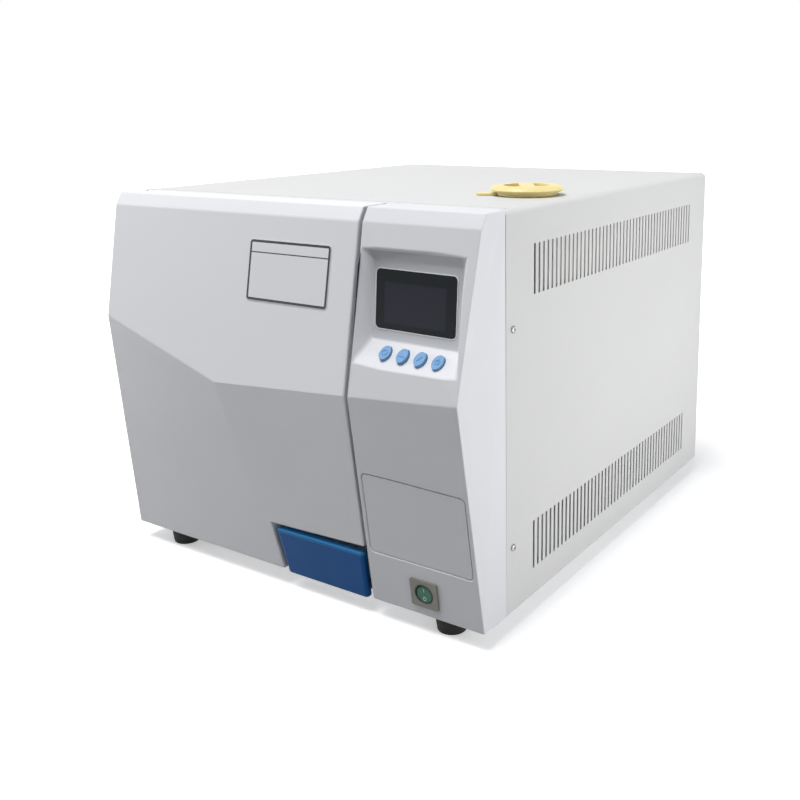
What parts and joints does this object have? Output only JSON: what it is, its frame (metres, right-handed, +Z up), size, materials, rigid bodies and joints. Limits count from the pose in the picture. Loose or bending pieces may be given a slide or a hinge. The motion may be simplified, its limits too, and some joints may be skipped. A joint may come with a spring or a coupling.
{
  "type": "benchtop laboratory autoclave",
  "caption": "Benchtop steam sterilizer with a faceted swing door, a pull handle with a latch, a sloping control recess, vented sheet-metal sides and a horizontal pressure chamber.",
  "frame": {"origin": "middle of the footprint, on the bench under the feet", "axes": "+Z up, -Y out of the front door, +X towards the control column on the right as seen from the front"},
  "size_m": [0.4842, 0.601, 0.4193],
  "materials": {
    "casing_paint": "fine textured light grey powder coat",
    "white_moulding": "satin white moulded plastic",
    "zinc_steel": "zinc plated sheet and screws",
    "stainless": "bright stainless steel",
    "tray_aluminium": "plain anodised aluminium",
    "seal_silicone": "translucent white silicone",
    "foot_rubber": "black moulded rubber",
    "handle_blue": "dark blue moulded plastic, fine grain",
    "button_blue": "light blue moulded plastic",
    "display_black": "glossy black window over a dark display",
    "bezel_grey": "grey-brown moulded plastic",
    "rocker_green": "translucent green plastic",
    "fitting_black": "black moulded plastic",
    "cap_yellow": "yellow moulded plastic",
    "tank_plastic": "natural polyethylene",
    "wool": "mineral wool jacket",
    "heater_rubber": "silicone heater mat",
    "circuit_board": "green circuit board",
    "brass": "plain turned brass",
    "pump_plastic": "dark grey moulded plastic"
  },
  "bodies": {
    "body": {"casing_cover": "casing_paint", "rear_panel": "casing_paint", "column_fascia": "white_moulding", "printer_cover": "white_moulding", "base_pan": "zinc_steel", "front_frame": "zinc_steel", "cradle_front": "zinc_steel", "cradle_rear": "zinc_steel", "tank_post_front": "zinc_steel", "tank_post_rear": "zinc_steel", "power_supply": "zinc_steel", "screw_l_lower": "zinc_steel", "screw_l_upper": "zinc_steel", "screw_r_lower": "zinc_steel", "screw_r_upper": "zinc_steel", "chamber_vessel": "stainless", "hinge_post": "stainless", "hinge_pin_upper": "stainless", "hinge_pin_lower": "stainless", "latch_keeper": "stainless", "tray_rack": "stainless", "tray_1": "tray_aluminium", "tray_2": "tray_aluminium", "tray_3": "tray_aluminium", "condenser": "tray_aluminium", "feed_pipe": "seal_silicone", "foot_fl": "foot_rubber", "foot_fr": "foot_rubber", "foot_rl": "foot_rubber", "foot_rr": "foot_rubber", "display_window": "display_black", "switch_bezel": "bezel_grey", "power_inlet": "fitting_black", "fuse_holder_l": "fitting_black", "fuse_holder_r": "fitting_black", "water_tank": "tank_plastic", "insulation": "wool", "heater_band": "heater_rubber", "display_module": "circuit_board", "button_board": "circuit_board", "main_board": "circuit_board", "drain_fitting": "brass", "solenoid_valve_1": "brass", "solenoid_valve_2": "brass", "safety_valve": "brass", "water_pump": "pump_plastic"},
    "door": {"door_cover": "white_moulding", "door_arm": "stainless", "pressure_plate": "stainless", "door_gasket": "seal_silicone"},
    "handle": {"door_handle": "handle_blue"},
    "latch": {"latch_bolt": "stainless"},
    "cap": {"tank_cap": "cap_yellow"},
    "button_a": {"button_1": "button_blue"},
    "button_b": {"button_2": "button_blue"},
    "button_c": {"button_3": "button_blue"},
    "button_d": {"button_4": "button_blue"},
    "rocker": {"switch_rocker": "rocker_green"}
  },
  "joints": [
    {"name": "door_hinge", "type": "hinge", "parent": "body", "child": "door", "pos_m": [-0.232, -0.2345, 0.215], "axis": [0, 0, -1], "range_deg": [0, 100]},
    {"name": "handle_pull", "type": "hinge", "parent": "door", "child": "handle", "pos_m": [0.006, -0.2595, 0.12], "axis": [0, 0, -1], "range_deg": [0, 40]},
    {"name": "latch_slide", "type": "slide", "parent": "door", "child": "latch", "axis": [-1, 0, 0], "range_m": [0, 0.0095]},
    {"name": "cap_lift", "type": "slide", "parent": "body", "child": "cap", "axis": [0, 0, 1], "range_m": [0, 0.06]},
    {"name": "button_a_press", "type": "slide", "parent": "body", "child": "button_a", "axis": [0, 0.671, -0.7415], "range_m": [0, 0.0015], "stiffness_N_per_m": 400},
    {"name": "button_b_press", "type": "slide", "parent": "body", "child": "button_b", "axis": [0, 0.671, -0.7415], "range_m": [0, 0.0015], "stiffness_N_per_m": 400},
    {"name": "button_c_press", "type": "slide", "parent": "body", "child": "button_c", "axis": [0, 0.671, -0.7415], "range_m": [0, 0.0015], "stiffness_N_per_m": 400},
    {"name": "button_d_press", "type": "slide", "parent": "body", "child": "button_d", "axis": [0, 0.671, -0.7415], "range_m": [0, 0.0015], "stiffness_N_per_m": 400},
    {"name": "rocker_tilt", "type": "hinge", "parent": "body", "child": "rocker", "pos_m": [0.176, -0.26456, 0.045], "axis": [-1, 0, 0], "range_deg": [0, 18]}
  ],
  "couplings": [
    {"joint": "latch_slide", "follows": "handle_pull", "m_per_rad": 0.01289}
  ]
}
